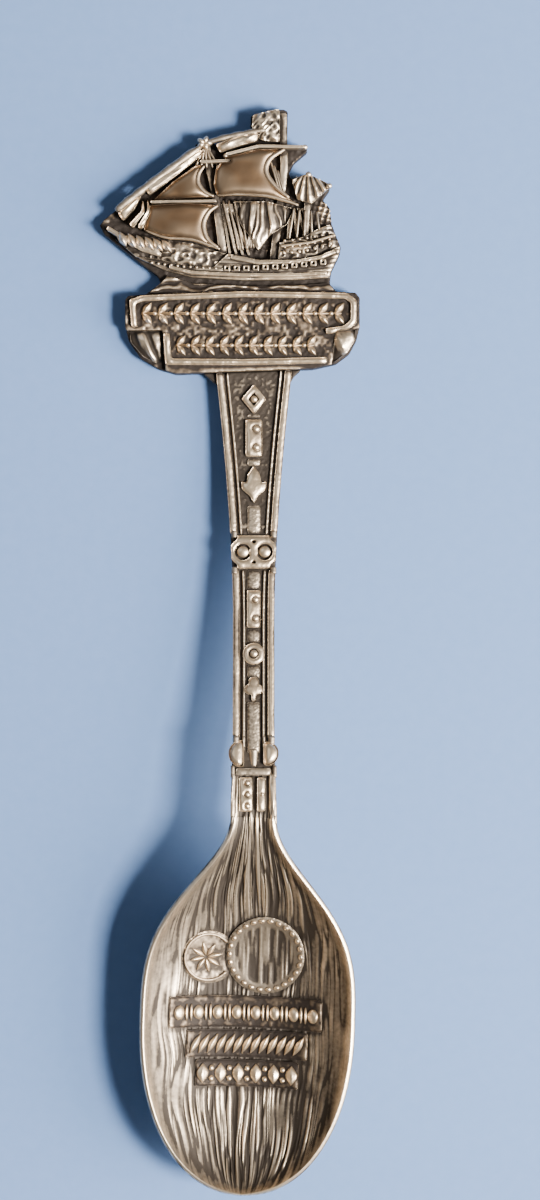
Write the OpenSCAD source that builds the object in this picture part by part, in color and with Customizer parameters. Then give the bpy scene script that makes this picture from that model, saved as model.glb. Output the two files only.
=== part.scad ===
// Souvenir spoon in antiqued cast pewter: an oval bowl with a raised emblem, an arched stem
// between two rails, and a flat finial with a folded ribbon under a three-masted galleon.
// Lengths are millimetres and angles are degrees. The spoon lies bowl up, with +Y towards the ship.

/* [Overall] */
// Length from the bowl's tip to the top of the flag
spoon_len = 105; // [103:0.5:107]
// Height of the neck above the table
neck_z = 8.7; // [7.8:0.1:9.5]

/* [Bowl] */
// Widest width of the bowl
bowl_w = 20.7; // [18:0.1:23]
// Distance from the bowl's tip to its widest point
bowl_mid = 16.5; // [15:0.1:18]
// Distance from the bowl's tip to the start of the stem
bowl_len = 36.5; // [35:0.1:38]
// Depth of the hollow at the widest point
bowl_depth = 5; // [4.6:0.1:5.4]
// Upright thickness of the bowl's wall
bowl_wall = 1.3; // [1:0.1:1.8]
// Angle by which the bowl is set off the stem's line
bowl_turn = 1.8; // [0:0.1:3]
// Height of the emblem and its rows above the bowl's floor
emblem_h = 0.35; // [0.2:0.05:0.5]

/* [Stem] */
// Half the stem's width at its narrowest
stem_half = 2.0; // [1.8:0.05:2.4]
// Half the stem's width where it runs under the ribbon
stem_top_half = 3.7; // [3.3:0.05:4]
// Thickness of the stem under its sunk panel
stem_thick = 1.7; // [1.4:0.1:2]
// Depth of the sunk panel below the tops of the rails
panel_sink = 0.6; // [0.4:0.05:0.8]
// Width of each outer rail
rail_w = 0.65; // [0.5:0.05:0.8]

/* [Finial] */
// How far the finial sits to the side of the stem's line
finial_x = -1.0; // [-1.5:0.1:0]
// Thickness of the finial's flat back plate
plate_t = 1.5; // [1.2:0.1:1.8]
// Height of the ribbon's body above the back plate
ribbon_h = 0.7; // [0.5:0.1:0.9]

/* [Hidden] */

pewter = [0.56, 0.50, 0.45];
bright = [0.72, 0.66, 0.60];
recess = [0.34, 0.30, 0.28];
sailcloth = [0.46, 0.37, 0.29];

neck_half = 2.2;
rim_mid_z = bowl_depth + bowl_wall;
ribbon_y = spoon_len - 17.75;      // top edge of the ribbon, where the ship stands
stem_end = ribbon_y - 7.9;         // the stem has come down to its lowest here
stem_tail = ribbon_y - 7.5;        // the stem is cut off by the ribbon's lower edge before this
deck_end_z = 2.0;                  // tops of the rails at the ribbon
relief_z = plate_t + ribbon_h;     // face of the ribbon's body
step = 1.5;                        // spacing of the stem's stations
tall = 30;                         // cutting height, past every solid

// The box is centred on the origin: the bow is furthest left, and the ribbon furthest right.
left_x = finial_x - 14.05;
right_x = finial_x + 11.3;
shift = [-(left_x + right_x) / 2, -spoon_len / 2, 0];

function clamp01(t) = min(1, max(0, t));
function ease(t) = let (c = clamp01(t)) c * c * (3 - 2 * c);

// ---- Bowl surface -------------------------------------------------------------------------
// Half width of the bowl at y: an ellipse-like tip and a swelling that narrows to the neck.
function bowl_half(y) = y <= bowl_mid
    ? bowl_w / 2 * pow(1 - pow((bowl_mid - y) / bowl_mid, 2.15), 1 / 2.15)
    : neck_half + (bowl_w / 2 - neck_half)
      * (1 + cos(180 * pow((y - bowl_mid) / (bowl_len - bowl_mid), 1.6))) / 2;
function rim_z(y) = rim_mid_z - 0.3 * pow(clamp01((bowl_mid - y) / bowl_mid), 2)
    + (neck_z - rim_mid_z) * ease((y - 18) / (bowl_len - 18));
// Depth of the hollow below the rim: none at the tip, and down to the stem's sunk panel at the neck.
function hollow(y) = y <= bowl_mid
    ? bowl_depth * pow(bowl_half(y) / (bowl_w / 2), 1.15)
    : panel_sink + (bowl_depth - panel_sink)
      * pow((bowl_half(y) - neck_half) / (bowl_w / 2 - neck_half), 0.85);
function near_neck(y) = ease((y - bowl_len + 8.5) / 8.5);
// The hollow is a round dish in the bowl and a flat-floored channel at the neck.
function dish(y) = 2.4 + 4 * near_neck(y);
function wall(y) = bowl_wall + (stem_thick - bowl_wall) * near_neck(y);
// Floor of the bowl at width share u (from -1 to 1) and length y.
function floor_z(u, y) = rim_z(y) - hollow(y) * (1 - pow(abs(u), dish(y)));
// Back of the bowl: under the neck's channel the back is level, to meet the stem's underside.
function back_z(u, y) = let (drop = hollow(y) * (1 - pow(abs(u), dish(y))))
    rim_z(y) - wall(y) - drop - near_neck(y) * (panel_sink - min(panel_sink, drop));
function bowl_y(i, n) = let (t = i / n) t < 0.5
    ? bowl_mid * (1 - cos(180 * t)) + 0.02
    : bowl_mid + (bowl_len - bowl_mid) * (2 * t - 1);

module turned_bowl() {
    translate([0, bowl_len, 0]) rotate([0, 0, -bowl_turn]) translate([0, -bowl_len, 0]) children();
}

// Closed shell between the bowl's floor and its back, which is the floor dropped by the wall.
module bowl() {
    rows = 40;
    cols = 22;
    ring = 2 * (cols + 1);
    pts = [for (i = [0:rows]) let (y = bowl_y(i, rows), w = bowl_half(y))
        each concat(
            [for (j = [0:cols]) let (u = 2 * j / cols - 1) [u * w, y, floor_z(u, y)]],
            [for (j = [0:cols]) let (u = 1 - 2 * j / cols) [u * w, y, back_z(u, y)]])];
    color(pewter) turned_bowl() polyhedron(pts, loft_faces(rows, ring), convexity = 4);
}

// Faces of a tube of rings, closed at both ends by strips that pair each point with the one across.
function loft_faces(rows, ring) = concat(
    [for (k = [0:ring / 2 - 2]) each strip(k, k + 1, ring - 2 - k, ring - 1 - k)],
    [for (i = [0:rows - 1], k = [0:ring - 1])
        let (a = i * ring + k, b = i * ring + (k + 1) % ring) each strip(a, a + ring, b + ring, b)],
    [for (k = [0:ring / 2 - 2])
        let (z = rows * ring) each strip(z + ring - 1 - k, z + ring - 2 - k, z + k + 1, z + k)]);
function strip(a, b, c, d) = [[a, b, c], [a, c, d]];

// Plates on the bowl's floor are let into it by this much.
sunk = 0.04;
// Plate that follows the bowl's floor, from x0 to x1 and from y0 to y1.
module floor_strip(x0, x1, y0, y1, lift) {
    nx = 14;
    ny = 4;
    pts = [for (i = [0:ny]) let (y = y0 + (y1 - y0) * i / ny, w = bowl_half(y))
        each concat(
            [for (j = [0:nx]) let (x = x0 + (x1 - x0) * j / nx) [x, y, floor_z(x / w, y) + lift]],
            [for (j = [0:nx]) let (x = x1 + (x0 - x1) * j / nx) [x, y, floor_z(x / w, y) - sunk]])];
    turned_bowl() polyhedron(pts, loft_faces(ny, 2 * (nx + 1)), convexity = 4);
}
// Round plate on the floor; its right side gives way to the edge of another disc.
module floor_disc(c, r, lift, other = [100, 0], other_r = 0) {
    n = 16;
    ring = 2 * (n + 1);
    // Chords are spaced by angle, so each row's y follows the circle.
    turns = [for (i = [0:n]) 180 * max(0.02, min(0.98, i / n))];
    pts = [for (a = turns) let (y = c[1] - r * cos(a), w = bowl_half(y), x0 = c[0] - r * sin(a),
            reach = pow(other_r, 2) - pow(y - other[1], 2),
            x1 = min(c[0] + r * sin(a), reach > 0 ? other[0] - sqrt(reach) : c[0] + r))
        each concat(
            [for (j = [0:n]) let (x = x0 + (x1 - x0) * j / n) [x, y, floor_z(x / w, y) + lift]],
            [for (j = [0:n]) let (x = x1 + (x0 - x1) * j / n) [x, y, floor_z(x / w, y) - sunk]])];
    turned_bowl() polyhedron(pts, loft_faces(n, ring), convexity = 4);
}

disc_large = [1.5, 22.7];
disc_small = [-3.9, 22.4];
disc_large_r = 3.85;
disc_small_r = 2.65;
disc_small_h = emblem_h * 0.6;
star_centre = [-4.3, 22.4];

module emblem_disc_large() { color(pewter) floor_disc(disc_large, disc_large_r, emblem_h); }
module emblem_disc_small() {
    color(bright) floor_disc(disc_small, disc_small_r, disc_small_h, disc_large, disc_large_r);
}
// Small upright shape standing on the bowl's floor, raised by lift.
module floor_stud(c, lift, h) {
    z = floor_z(c[0] / bowl_half(c[1]), c[1]) + lift;
    turned_bowl() translate([c[0], c[1], z - 0.1]) linear_extrude(h) children();
}
// Ring of beads round the large disc.
module emblem_ring() {
    beads = 20;
    color(bright) for (i = [0:beads - 1]) let (a = 360 * i / beads)
        floor_stud(disc_large + (disc_large_r - 0.5) * [cos(a), sin(a)], emblem_h, 0.3)
            circle(r = 0.3, $fn = 24);
}
// Eight-pointed star on the small disc.
module emblem_star() {
    color(bright) floor_stud(star_centre, disc_small_h, 0.35)
        polygon([for (i = [0:15]) (i % 2 == 0 ? 1.5 : 0.6) * [cos(22.5 * i + 11), sin(22.5 * i + 11)]]);
}
module emblem_row_upper() { color(pewter) floor_strip(-7.6, 7.2, 15.5, 18.6, emblem_h); }
module emblem_row_middle() { color(pewter) floor_strip(-5.9, 5.9, 12.6, 15.3, emblem_h); }
module emblem_row_lower() { color(pewter) floor_strip(-4.9, 5.1, 9.8, 12.4, emblem_h); }

// ---- Stem ---------------------------------------------------------------------------------
// Height of the rails' tops: level off the bowl's rim, then a long fall to the ribbon.
function arch_z(y) = let (s = clamp01((y - bowl_len) / (stem_end - bowl_len)), lag = 0.08,
        t = s * s / (s + lag) * (1 + lag))
    deck_end_z + (neck_z - deck_end_z) * pow(1 - t, 1.6);
// The same height on straight spans between stations, so that stacked solids share their faces.
function deck_z(y) = let (k = floor((y - bowl_len) / step), a = bowl_len + k * step)
    arch_z(a) + (arch_z(a + step) - arch_z(a)) * (y - a) / step;
function stations(y0, y1) = concat([y0],
    [for (k = [0:floor((stem_tail - bowl_len) / step)])
        let (y = bowl_len + k * step) if (y > y0 + 0.01 && y < y1 - 0.01) y], [y1]);
// Half width of the stem: parallel, then flaring to the ribbon, with a waist above the bowl.
function stem_w(y) = stem_half + (neck_half - stem_half) * (1 - ease((y - bowl_len) / 8))
    + (stem_top_half - stem_half) * pow(clamp01((y - 56) / (stem_end - 56)), 1.6);

// Slab between two offsets from the arch, from y0 to y1, right across the stem.
module arch_slab(y0, y1, low, high) {
    ys = stations(y0, y1);
    n = len(ys) - 1;
    rotate([90, 0, 90]) translate([0, 0, -tall / 2]) linear_extrude(tall)
        polygon(concat([for (y = ys) [y, deck_z(y) + low]],
                       [for (i = [n:-1:0]) [ys[i], deck_z(ys[i]) + high]]));
}
// Area between two lines that keep a share of, and an inset from, the stem's edge.
module lane(y0, y1, share_a, inset_a, share_b, inset_b) {
    ys = stations(y0, y1);
    n = len(ys) - 1;
    polygon(concat(
        [for (y = ys) [share_a * stem_w(y) + inset_a, y]],
        [for (i = [n:-1:0]) [share_b * stem_w(ys[i]) + inset_b, ys[i]]]));
}
// A bar that reaches the ribbon is cut off by the ribbon's lower edge.
module stem_bar(y0, y1, share_a, inset_a, share_b, inset_b, low, high) {
    intersection() {
        linear_extrude(tall) difference() {
            lane(y0, y1, share_a, inset_a, share_b, inset_b);
            if (y1 > stem_end) translate([finial_x, ribbon_y]) polygon(ribbon_outline);
        }
        arch_slab(y0, y1, low, high);
    }
}
// Relief on the stem's sunk panel, rising from its floor.
module on_panel(y, high = 0) {
    intersection() {
        translate([0, y, 0]) linear_extrude(tall) children();
        arch_slab(y - 3, y + 3, -panel_sink, high);
    }
}

ledge_y = [40.5, 41.15];
lug_y = 42.55;
rail_y0 = 43.95;
knot_y = 61.8;
knot_gap = 1.75;

module stem_core() {
    color(recess) stem_bar(bowl_len, stem_tail, -1, 0, 1, 0, -panel_sink - stem_thick, -panel_sink);
}
module rail(side) {
    inset = -side * rail_w;
    color(bright) {
        stem_bar(rail_y0, knot_y - knot_gap, side, 0, side, inset, -panel_sink, 0);
        stem_bar(knot_y + knot_gap, stem_tail, side, 0, side, inset, -panel_sink, 0);
    }
}
module rail_left() { rail(-1); }
module rail_right() { rail(1); }
module fillet(side) {
    a = -side * (rail_w + 0.3);
    b = a - side * 0.22;
    color(pewter) {
        stem_bar(rail_y0, knot_y - knot_gap, side, a, side, b, -panel_sink, -0.15);
        stem_bar(knot_y + knot_gap, stem_tail, side, a, side, b, -panel_sink, -0.15);
    }
}
module fillet_left() { fillet(-1); }
module fillet_right() { fillet(1); }

// The raised rib down the middle is cut into lengths between the ornaments.
rib_half = 0.62;
rib_spans = [[42.6, 47.4], [49.7, 50.9], [53.1, 54.4], [58.2, 60.05], [63.55, 66.3], [70.2, 70.9],
    [74.9, 75.2]];
module centre_rib() {
    color(pewter) for (s = rib_spans)
        stem_bar(s[0], s[1], 0, -rib_half, 0, rib_half, -panel_sink, -0.2);
}

// Collar between the bowl and the stem's rails.
module neck_rim(side) {
    color(bright) stem_bar(bowl_len, ledge_y[0], side, 0, side, -side * 0.4, -panel_sink, 0);
}
module neck_rim_left() { neck_rim(-1); }
module neck_rim_right() { neck_rim(1); }
module collar_ledge() {
    color(pewter) stem_bar(ledge_y[0], ledge_y[1], -0.8, 0, 0.8, 0, -panel_sink, -0.1);
}
// A lug is a round boss on the stem's edge, flat on its inner side.
module lug(side, r) {
    inner = rib_half + 0.3;
    color(bright) difference() {
        intersection() {
            translate([side * (stem_half + 0.42 - r), lug_y, 0]) cylinder(h = tall, r = r, $fn = 48);
            translate([side > 0 ? inner : -tall, 0, 0]) cube([tall - inner, spoon_len, tall]);
            arch_slab(lug_y - 3, lug_y + 3, -1.4, 0.25);
        }
        linear_extrude(deck_z(lug_y) - panel_sink) translate([-stem_half, lug_y - 3])
            square([2 * stem_half, 6]);
    }
}
module lug_left() { lug(-1, 1.3); }
module lug_right() { lug(1, 1.15); }

// Upright tablet with a column of round sockets.
module tablet(w, h, holes, hole_r) {
    difference() {
        square([w, h], center = true);
        for (k = [0:holes - 1])
            translate([w * 0.12, h * ((k + 0.5) / holes - 0.5)]) circle(r = hole_r, $fn = 24);
    }
}
module collar_tablets() {
    color(bright) on_panel(38.7, 0.05) {
        translate([-0.75, 0]) tablet(1.25, 3.2, 3, 0.3);
        translate([0.72, 0]) tablet(0.75, 3.2, 1, 0.2);
    }
}
// Ornaments on the stem, from the ribbon down to the bowl.
module stem_diamond() {
    color(bright) on_panel(76.7) difference() {
        polygon([[0, -1.45], [1.2, 0], [0, 1.45], [-1.2, 0]]);
        polygon([[0, -0.7], [0.55, 0], [0, 0.7], [-0.55, 0]]);
    }
}
module stem_tablet_upper() { color(bright) on_panel(72.9) tablet(1.6, 3.6, 2, 0.36); }
// Pointed bud between two low side leaves.
module stem_bud() {
    half = [[0, -1.8], [0.35, -1.1], [1.15, -0.4], [1.25, 0.35], [0.7, 0.25], [0.6, 1], [0, 1.9]];
    color(bright) on_panel(68.3)
        polygon(concat(half, [for (i = [len(half) - 2:-1:1]) [-half[i][0], half[i][1]]]));
}
// Flat knot that spans the whole stem and interrupts both rails.
module stem_knot() {
    r = 1.05;
    bar = 0.5;
    color(bright) on_panel(knot_y, 0.1) intersection() {
        union() {
            for (x = [-r, r]) translate([x, 0]) difference() {
                circle(r = r + bar / 2, $fn = 48);
                circle(r = r - bar / 2, $fn = 48);
            }
            circle(r = 0.45, $fn = 32);
            for (s = [-1, 1]) translate([0, s * 1.35]) square([3.2, 0.5], center = true);
        }
        translate([0, -knot_y]) lane(knot_y - knot_gap, knot_y + knot_gap, -1, 0, 1, 0);
    }
}
module stem_tablet_lower() { color(bright) on_panel(56.3) tablet(1.3, 3.6, 2, 0.34); }
module stem_ring() {
    color(bright) on_panel(52.0) difference() {
        circle(r = 1.05, $fn = 48);
        circle(r = 0.5, $fn = 32);
    }
}
module stem_trefoil() {
    color(bright) on_panel(48.55) {
        for (a = [90, 210, 330])
            translate([0.5 * cos(a), 0.3 + 0.5 * sin(a)]) circle(r = 0.48, $fn = 32);
        translate([-0.2, -1.1]) square([0.4, 1]);
    }
}

// ---- Finial -------------------------------------------------------------------------------
// Points of the finial are measured from the middle of the ribbon's top edge.
module at_finial() { translate([finial_x, ribbon_y, 0]) children(); }
module raised(low, high) { at_finial() translate([0, 0, low]) linear_extrude(high - low) children(); }
// Raised shape whose face is part of a ball's surface, so that it swells in the middle.
module swelling(low, high, centre, r) {
    at_finial() intersection() {
        translate([0, 0, low]) linear_extrude(high - low) children();
        translate([centre[0], centre[1], high - r]) sphere(r = r, $fn = 120);
    }
}
// Band along a line, with mitred corners.
module stroke(points, w) {
    n = len(points) - 1;
    way = [for (i = [0:n - 1]) (points[i + 1] - points[i]) / norm(points[i + 1] - points[i])];
    side = [for (i = [0:n]) let (a = way[max(i - 1, 0)], b = way[min(i, n - 1)], m = a + b)
        [-m[1], m[0]] / (m * b) * w / 2];
    polygon(concat([for (i = [0:n]) points[i] + side[i]], [for (i = [n:-1:0]) points[i] - side[i]]));
}
module leaf(length, wide) {
    r = (length * length + wide * wide) / 4 / wide;
    intersection() {
        translate([0, r - wide / 2]) circle(r = r, $fn = 64);
        translate([0, wide / 2 - r]) circle(r = r, $fn = 64);
    }
}

ribbon_outline = [[-11.2, -0.5], [-6, -0.1], [0, 0.05], [7, 0], [10.9, -0.2], [11.3, -0.7],
    [11.3, -3.6], [11, -4.8], [10.3, -6.1], [9, -7.1], [6.8, -7.6], [-6.6, -8.1], [-8.3, -7.6],
    [-10, -6.6], [-11.2, -4.9], [-11.55, -3.4], [-11.55, -0.9]];
ship_outline = [[-9.6, -0.3], [-8.1, 0.8], [-8.4, 1.5], [-9.7, 2.4], [-10.7, 3.2], [-12.2, 4.4],
    [-13.6, 5.5], [-14.05, 6.4], [-13.6, 7], [-12.2, 8.1], [-10.3, 9.5], [-9.4, 10.1], [-7, 11.8],
    [-4.9, 13.3], [-4.7, 14.3], [-3.8, 14.8], [-2.9, 14.4], [-2.4, 14.2], [-0.6, 15], [0.6, 15.3],
    [0.7, 17.1], [2.5, 17.5], [3.9, 17.75], [4.3, 17.5], [4.25, 14.2], [6.2, 14.1], [6.2, 13.6],
    [4.9, 12.5], [4.4, 11.6], [4.6, 10.9], [6.2, 11.4], [7.2, 11], [8.4, 10.4], [8.4, 9.9],
    [7.7, 8.9], [8.4, 8.1], [8.6, 6.5], [9.1, 5.2], [9.5, 4.2], [9.3, 3.4], [8.55, 1.9],
    [8.4, 0.7], [9.3, -0.3]];

module finial_plate() {
    color(recess) raised(0, plate_t) {
        polygon(ribbon_outline);
        polygon(ship_outline);
    }
}
module shoulders() {
    color(pewter) linear_extrude(plate_t - 0.1) difference() {
        translate([0, ribbon_y])
            polygon([[-5.4, -7.6], [-4.2, -8.7], [-3.5, -9.2], [3.4, -9.2], [3.9, -8.3], [5, -7.3]]);
        translate([finial_x, ribbon_y]) polygon(ribbon_outline);
        lane(bowl_len, stem_tail, -1, 0, 1, 0);
    }
}

// ---- Ribbon -------------------------------------------------------------------------------
module body_outline() {
    intersection() {
        polygon(ribbon_outline);
        polygon([[-12, 1], [-12, -3.9], [-7.9, -3.9], [-7.5, -9], [8.4, -9], [8.9, -4], [12, -3.6],
            [12, 1]]);
    }
}
module ribbon_body() { color(recess) raised(plate_t, relief_z) body_outline(); }
module ribbon_border() {
    color(bright) raised(relief_z, relief_z + 0.55) intersection() {
        union() {
            stroke([[-10.6, -3.6], [-10.8, -1.15], [-9.8, -0.8], [0, -0.4], [9.9, -0.55], [10.7, -1.1],
                [10.7, -3.1], [9.8, -3.75], [8, -4]], 0.55);
            stroke([[-7.5, -4.2], [-7.3, -6.95], [0, -7], [8.1, -6.8]], 0.6);
        }
        body_outline();
    }
}
module ribbon_fold_left() {
    color(pewter) swelling(plate_t, relief_z - 0.1, [-9.2, -5], 6) difference() {
        polygon([[-11.2, -3.5], [-7, -3.5], [-7, -7.4], [-8.2, -7.2], [-9.8, -6.4], [-11, -5]]);
        body_outline();
    }
}
module ribbon_fold_right() {
    color(bright) swelling(plate_t, relief_z + 0.5, [9.8, -5], 3.2) difference() {
        polygon([[8, -3.5], [10.9, -3.5], [10.8, -4.9], [10.1, -6], [8.9, -6.9], [8, -7]]);
        body_outline();
    }
}
// Pairs of slanted leaves in a row, from x0 to x1.
module garland(x0, x1, y, count, size) {
    tilt = 38;
    for (i = [0:count - 1], s = [-1, 1])
        translate([x0 + (x1 - x0) * i / (count - 1), y + s * size / 4]) rotate(s * tilt)
            leaf(size, size * 0.4);
}
module ribbon_garland_upper() {
    color(bright) raised(relief_z, relief_z + 0.45) garland(-9.5, 9.4, -2.3, 14, 1.25);
}
module ribbon_garland_lower() {
    color(bright) raised(relief_z, relief_z + 0.45) garland(-6.1, 6.7, -5.4, 11, 1.15);
}

// ---- Ship ---------------------------------------------------------------------------------
// Each feature of the ship stands on the plate. What is in front cuts away what is behind.
port_count = 11;
module each_port() {
    for (i = [0:port_count - 1]) translate([-1.6 + 0.93 * i, 2.05 + 0.006 * i * i]) children();
}
module outline(name) {
    if (name == "sea") polygon([[-9.2, -0.2], [-8, 0.8], [-7.4, 1.5], [-5, 0.7], [0, 0.5], [5, 0.5],
        [8.3, 0.75], [9, -0.2]]);
    if (name == "hull") polygon([[-10.4, 3.2], [-8.4, 3], [-5.5, 2.3], [-2.9, 2.2], [-1.5, 3.5],
        [1.5, 2.9], [5.2, 3], [7.2, 3.4], [9.4, 4.2], [9.2, 3.3], [8.5, 1.9], [8.3, 1.2], [5, 1],
        [0, 0.95], [-5, 1.25], [-7.8, 2]]);
    if (name == "wales") {
        stroke([[-1.2, 3.15], [1.5, 2.6], [5.2, 2.7], [7.4, 3.1], [8.9, 3.7]], 0.35);
        stroke([[-7.2, 2.2], [-5, 1.65], [0, 1.4], [5, 1.4], [8.1, 1.6]], 0.3);
    }
    if (name == "gun_ports") each_port() square([0.6, 0.55], center = true);
    if (name == "forecastle") polygon([[-12.6, 5.1], [-10.9, 5.4], [-9.2, 5.2], [-7.5, 4.9],
        [-5, 4.5], [-2.4, 3.7], [-1.5, 3.5], [-2.9, 2.2], [-5.5, 2.3], [-8.4, 3], [-10.4, 3.2]]);
    if (name == "stern_castle") polygon([[3.3, 2.9], [3.5, 4.6], [6, 5.2], [7.3, 6], [8.4, 6.4],
        [8.9, 5.4], [9.4, 4.2], [7.2, 3.4], [5.2, 3]]);
    if (name == "stern_gallery") {
        stroke([[3.6, 4.2], [6.6, 4.6], [8.9, 5.3]], 0.25);
        for (i = [0:6]) translate([3.9 + 0.75 * i, 3.6 + 0.025 * i * i]) circle(r = 0.17, $fn = 16);
    }
    if (name == "head_rails") {
        stroke([[-13.2, 6], [-11.6, 5], [-9.8, 3.9], [-8, 3.4]], 0.4);
        for (i = [0:4]) translate([-11.9 + 0.85 * i, 4.9 - 0.22 * i]) rotate(-60) leaf(1.3, 0.5);
    }
    if (name == "fore_mast") stroke([[-3.7, 14.5], [-3.4, 12.4], [-2.7, 9.2], [-2, 3.6]], 0.75);
    if (name == "main_mast") stroke([[3.85, 17.2], [3.95, 12], [3.6, 8.6], [2.9, 3]], 0.7);
    if (name == "mizzen_mast") stroke([[6.3, 11], [6.2, 8.2], [6, 5]], 0.55);
    if (name == "fore_course") polygon([[-9.1, 8.2], [-5.6, 8.4], [-2.3, 8.2], [-3.4, 7.5],
        [-3.95, 6.3], [-3.5, 4.8], [-2.2, 3.9], [-5.2, 4.9], [-7.6, 5.1], [-9.7, 5.7]]);
    if (name == "fore_topsail") polygon([[-8.8, 8.7], [-6.8, 10.5], [-4.5, 12.1], [-3.8, 12.1],
        [-4.4, 11.3], [-4.45, 10.3], [-3.7, 9.4], [-2.7, 9], [-6, 8.9]]);
    if (name == "main_topsail") polygon([[-1.8, 12.8], [1.3, 13.6], [4, 13.7], [2.5, 12.7],
        [2.1, 11.6], [2.9, 10.2], [4.4, 8.9], [5.4, 8.2], [2.3, 9.1], [-0.6, 9.3], [-2.6, 9.1],
        [-2.9, 10.2], [-2.7, 11.7]]);
    if (name == "main_course") polygon([[-1, 8.6], [2.3, 8.6], [4.9, 7.9], [4.2, 6.4], [2.6, 5.4],
        [1.4, 3.8], [0.6, 5.2], [-0.3, 6.4]]);
    if (name == "mizzen_sail") polygon([[4.7, 10.7], [6.2, 11.3], [8.3, 10.3], [8.3, 9.9],
        [6.6, 8.4], [5.2, 8.8]]);
    if (name == "spritsail") polygon([[-12.2, 7.4], [-10.5, 9.3], [-9.9, 9.2], [-10.5, 8],
        [-11.7, 6.7]]);
    if (name == "jib_drapes") {
        polygon([[-9.75, 8.9], [-9.9, 7.6], [-11.1, 6.3], [-10.7, 6], [-9.6, 7.5]]);
        polygon([[-9.3, 8.8], [-9.35, 7.6], [-10.3, 6], [-9.85, 5.9], [-9, 7.5]]);
    }
    if (name == "fore_pennant") polygon([[-9.6, 9.9], [-7, 11.7], [-4.3, 13.6], [-3.7, 13.4],
        [-6.6, 11], [-9.2, 9.2]]);
    if (name == "main_pennant") polygon([[-2.7, 14.1], [-0.5, 14.9], [1.8, 15.4], [1.2, 14.4],
        [-0.6, 13.9], [-2.3, 13.3]]);
    if (name == "masthead_flag") polygon([[0.8, 15.1], [0.9, 17], [2.5, 17.4], [3.5, 17.6],
        [3.5, 14.4], [1.9, 14.5]]);
    if (name == "yards") {
        stroke([[-1.7, 13.1], [1.5, 13.9], [6, 13.85]], 0.3);
        stroke([[-4.2, 12.4], [-1.2, 12.5]], 0.3);
        stroke([[-9, 8.5], [-2.6, 8.6]], 0.25);
    }
    if (name == "shrouds") {
        for (i = [0:3]) stroke([[-2.1 + 0.3 * i, 8.4], [-1.3 + 0.62 * i, 3.4]], 0.22);
        for (i = [0:3]) stroke([[4.5 + 0.4 * i, 8], [4.3 + 0.9 * i, 4.9]], 0.22);
    }
}
module shown(name, in_front) {
    difference() {
        outline(name);
        for (f = in_front) outline(f);
    }
}
module level(high, name, in_front = []) { raised(plate_t, plate_t + high) shown(name, in_front); }
module rounded(high, centre, r, name, in_front = []) {
    swelling(plate_t, plate_t + high, centre, r) shown(name, in_front);
}

castles = ["forecastle", "stern_castle"];
sails = ["fore_course", "fore_topsail", "main_topsail", "main_course", "mizzen_sail"];

module sea() { color(recess) level(0.5, "sea", ["hull"]); }
module hull() { color(pewter) level(1.35, "hull", ["wales", "gun_ports"]); }
module wales() { color(bright) level(1.65, "wales", ["gun_ports"]); }
module gun_ports() {
    color(bright) raised(plate_t, plate_t + 1.6) each_port() difference() {
        square([0.6, 0.55], center = true);
        square([0.28, 0.25], center = true);
    }
}
module forecastle() {
    color(pewter) rounded(1.25, [-6, 2], 45, "forecastle", ["head_rails", "wales", "fore_course"]);
}
module stern_castle() {
    color(pewter) rounded(1.25, [5, 3], 30, "stern_castle", ["stern_gallery", "hull", "wales"]);
}
module stern_gallery() { color(bright) level(1.5, "stern_gallery"); }
module head_rails() { color(bright) level(1.5, "head_rails"); }
module fore_mast() {
    color(pewter) level(0.8, "fore_mast", concat(sails, castles, ["yards", "hull", "fore_pennant"]));
}
module main_mast() {
    color(pewter) level(0.75, "main_mast", concat(sails, ["yards", "hull", "wales"]));
}
module mizzen_mast() { color(pewter) level(0.9, "mizzen_mast", ["mizzen_sail", "stern_castle"]); }
module fore_course() { color(sailcloth) rounded(1.7, [-6, 6.5], 20, "fore_course", ["yards"]); }
module fore_topsail() { color(sailcloth) rounded(1.6, [-5, 10.5], 16, "fore_topsail", ["yards"]); }
module main_topsail() { color(sailcloth) rounded(1.75, [0, 11], 24, "main_topsail", ["yards"]); }
module main_course() { color(sailcloth) rounded(1.3, [1, 6.5], 24, "main_course", ["main_topsail"]); }
module mizzen_sail() { color(sailcloth) rounded(1.3, [6.4, 9.8], 12, "mizzen_sail"); }
module spritsail() { color(bright) rounded(1.4, [-11.2, 7.9], 12, "spritsail"); }
module jib_drapes() { color(bright) level(1.6, "jib_drapes", ["spritsail", "fore_topsail"]); }
module fore_pennant() { color(bright) level(1.5, "fore_pennant", ["fore_topsail"]); }
module main_pennant() { color(bright) level(1.5, "main_pennant", ["yards"]); }
module masthead_flag() {
    color(pewter) rounded(1.2, [2.4, 16.2], 12, "masthead_flag", ["main_mast", "main_pennant", "yards"]);
}
module shrouds() {
    color(pewter) level(0.85, "shrouds", concat(sails, castles, ["hull", "wales", "fore_mast", "main_mast",
        "mizzen_mast", "yards"]));
}
module yards() { color(bright) level(1.55, "yards"); }

module place(name) {
    translate(shift) children();
}
place("bowl") bowl();
place("emblem_disc_large") emblem_disc_large();
place("emblem_disc_small") emblem_disc_small();
place("emblem_ring") emblem_ring();
place("emblem_star") emblem_star();
place("emblem_row_upper") emblem_row_upper();
place("emblem_row_middle") emblem_row_middle();
place("emblem_row_lower") emblem_row_lower();
place("stem_core") stem_core();
place("rail_left") rail_left();
place("rail_right") rail_right();
place("fillet_left") fillet_left();
place("fillet_right") fillet_right();
place("centre_rib") centre_rib();
place("neck_rim_left") neck_rim_left();
place("neck_rim_right") neck_rim_right();
place("collar_ledge") collar_ledge();
place("lug_left") lug_left();
place("lug_right") lug_right();
place("collar_tablets") collar_tablets();
place("stem_diamond") stem_diamond();
place("stem_tablet_upper") stem_tablet_upper();
place("stem_bud") stem_bud();
place("stem_knot") stem_knot();
place("stem_tablet_lower") stem_tablet_lower();
place("stem_ring") stem_ring();
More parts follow.
